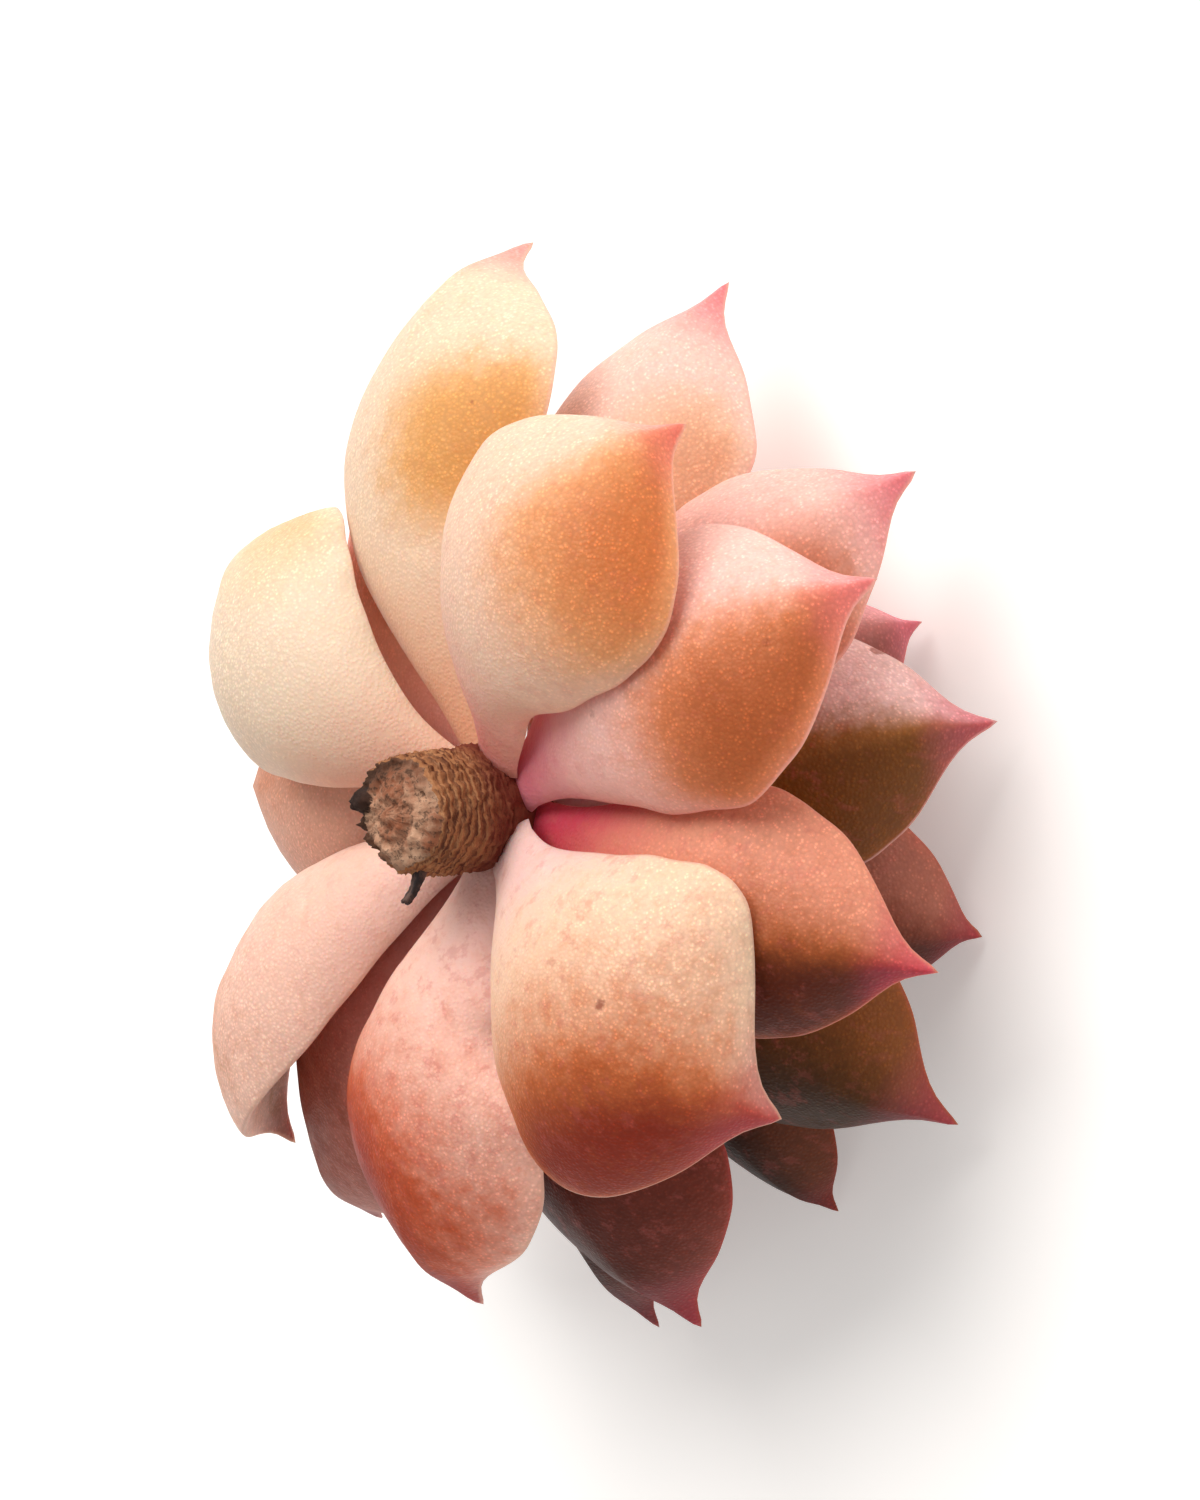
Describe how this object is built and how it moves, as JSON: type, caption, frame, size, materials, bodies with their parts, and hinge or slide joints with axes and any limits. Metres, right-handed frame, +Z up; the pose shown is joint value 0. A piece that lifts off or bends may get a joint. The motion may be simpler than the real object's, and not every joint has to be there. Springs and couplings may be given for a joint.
{
  "type": "echeveria rosette cutting",
  "caption": "Cut echeveria rosette with thick pointed leaves and a short corky stem stub, lying face down.",
  "frame": {"origin": "middle of the plant's footprint, on the surface that it lies on", "axes": "+Z up along the stem, from the face of the rosette to the cut end of the stub; +X towards the longest outer leaf; -Y towards the side with the two broad front leaves"},
  "size_m": [0.0738, 0.0686, 0.033],
  "materials": {
    "leaf": "fleshy leaf skin, satin, cream to salmon pink with an ochre blush and a fine sparkling grain",
    "cork": "dry brown bark with close leaf-scar rings",
    "dead_root": "dry and dark"
  },
  "bodies": {
    "root": {"stem": "cork", "dry_root": "dead_root", "outer_leaf_1": "leaf", "outer_leaf_2": "leaf", "outer_leaf_3": "leaf", "outer_leaf_4": "leaf", "outer_leaf_5": "leaf", "outer_leaf_6": "leaf", "outer_leaf_7": "leaf", "outer_leaf_8": "leaf", "second_leaf_1": "leaf", "second_leaf_2": "leaf", "second_leaf_3": "leaf", "second_leaf_4": "leaf", "second_leaf_5": "leaf", "second_leaf_6": "leaf", "second_leaf_7": "leaf", "second_leaf_8": "leaf", "third_leaf_1": "leaf", "third_leaf_2": "leaf", "third_leaf_3": "leaf", "third_leaf_4": "leaf", "third_leaf_5": "leaf", "third_leaf_6": "leaf", "third_leaf_7": "leaf", "inner_leaf_1": "leaf", "inner_leaf_2": "leaf", "inner_leaf_3": "leaf", "inner_leaf_4": "leaf", "inner_leaf_5": "leaf", "inner_leaf_6": "leaf", "inner_leaf_7": "leaf", "bud_leaf_1": "leaf", "bud_leaf_2": "leaf", "bud_leaf_3": "leaf", "bud_leaf_4": "leaf", "bud_leaf_5": "leaf", "bud_leaf_6": "leaf"}
  },
  "joints": []
}
